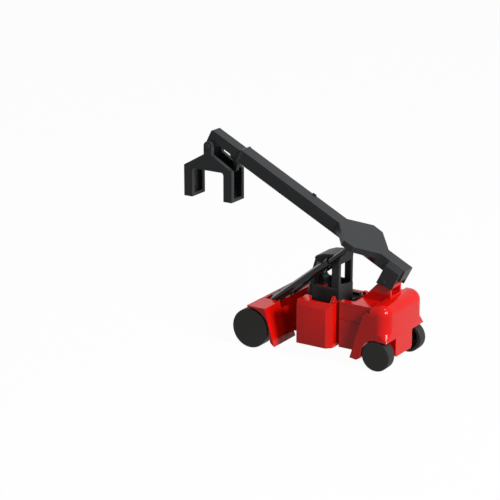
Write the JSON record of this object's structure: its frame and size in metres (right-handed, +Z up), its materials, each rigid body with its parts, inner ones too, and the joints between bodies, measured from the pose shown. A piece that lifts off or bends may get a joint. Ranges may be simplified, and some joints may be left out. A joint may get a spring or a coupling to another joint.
{
  "type": "scale model reach stacker",
  "caption": "Small plastic model of a container reach stacker: telescopic boom on a tower, lift cylinders beside the cab, hanging head frame and free-turning disc wheels.",
  "frame": {"origin": "on the ground below the middle of the bounding box", "axes": "+X forward, towards the head frame; +Y to the left; +Z up"},
  "size_m": [0.1062, 0.0392, 0.0857],
  "materials": {
    "red_print": "glossy printed plastic with faint layer lines",
    "black_print": "satin printed plastic with faint layer lines"
  },
  "bodies": {
    "chassis": {"main_frame": "red_print", "front_cross_wall": "red_print", "mudguard_left": "red_print", "mudguard_right": "red_print", "side_box_left": "red_print", "side_box_right": "red_print", "rear_body": "red_print", "counterweight": "red_print", "rear_block": "red_print", "front_axle": "red_print", "rear_axle": "red_print", "boom_tower": "red_print", "deck_plate": "black_print", "cab_shell": "black_print", "cab_roof": "black_print", "cab_seat": "black_print", "boom_pivot_pin": "black_print", "lift_foot_pin": "black_print", "cab_console": "black_print"},
    "outer_boom": {"outer_boom": "black_print"},
    "inner_boom": {"inner_boom": "black_print", "head_stop_arm": "black_print", "head_pin": "black_print"},
    "head": {"head_frame": "black_print"},
    "front_wheel_left": {"front_wheel_left": "black_print"},
    "front_wheel_right": {"front_wheel_right": "black_print"},
    "rear_wheel_left": {"rear_wheel_left": "black_print"},
    "rear_wheel_right": {"rear_wheel_right": "black_print"},
    "lift_barrel_left": {"lift_barrel_left": "black_print"},
    "lift_rod_left": {"lift_rod_left": "black_print"},
    "lift_barrel_right": {"lift_barrel_right": "black_print"},
    "lift_rod_right": {"lift_rod_right": "black_print"}
  },
  "joints": [
    {"name": "front_wheel_left_spin", "type": "hinge", "parent": "chassis", "child": "front_wheel_left", "pos_m": [0.01072, 0, 0.0084], "axis": [0, 1, 0], "continuous": true},
    {"name": "front_wheel_right_spin", "type": "hinge", "parent": "chassis", "child": "front_wheel_right", "pos_m": [0.01072, 0, 0.0084], "axis": [0, 1, 0], "continuous": true},
    {"name": "rear_wheel_left_spin", "type": "hinge", "parent": "chassis", "child": "rear_wheel_left", "pos_m": [-0.04678, 0, 0.0063], "axis": [0, 1, 0], "continuous": true},
    {"name": "rear_wheel_right_spin", "type": "hinge", "parent": "chassis", "child": "rear_wheel_right", "pos_m": [-0.04678, 0, 0.0063], "axis": [0, 1, 0], "continuous": true},
    {"name": "boom_lift", "type": "hinge", "parent": "chassis", "child": "outer_boom", "pos_m": [-0.04448, 0, 0.0344], "axis": [0, -1, 0], "range_deg": [-10, 25]},
    {"name": "boom_extend", "type": "slide", "parent": "outer_boom", "child": "inner_boom", "axis": [0.8918, 0, 0.4524], "range_m": [0, 0.04]},
    {"name": "head_swing", "type": "hinge", "parent": "inner_boom", "child": "head", "pos_m": [0.04104, 0, 0.07913], "axis": [0, -1, 0], "range_deg": [-5, 30]},
    {"name": "lift_barrel_left_tilt", "type": "hinge", "parent": "chassis", "child": "lift_barrel_left", "pos_m": [0.00882, 0.0057, 0.0161], "axis": [0, 1, 0], "range_deg": [-0.45, 0.3]},
    {"name": "lift_rod_left_stroke", "type": "slide", "parent": "lift_barrel_left", "child": "lift_rod_left", "axis": [-0.7777, 0.0789, 0.6237], "range_m": [-0.00349, 0.00841]},
    {"name": "lift_barrel_right_tilt", "type": "hinge", "parent": "chassis", "child": "lift_barrel_right", "pos_m": [0.00882, -0.0057, 0.0161], "axis": [0, 1, 0], "range_deg": [-0.45, 0.3]},
    {"name": "lift_rod_right_stroke", "type": "slide", "parent": "lift_barrel_right", "child": "lift_rod_right", "axis": [-0.7777, -0.0789, 0.6237], "range_m": [-0.00349, 0.00841]}
  ],
  "couplings": [
    {"joint": "lift_barrel_left_tilt", "follows": "boom_lift", "ratio": -0.01},
    {"joint": "lift_rod_left_stroke", "follows": "boom_lift", "m_per_rad": 0.018822},
    {"joint": "lift_barrel_right_tilt", "follows": "boom_lift", "ratio": -0.01},
    {"joint": "lift_rod_right_stroke", "follows": "boom_lift", "m_per_rad": 0.018822}
  ]
}
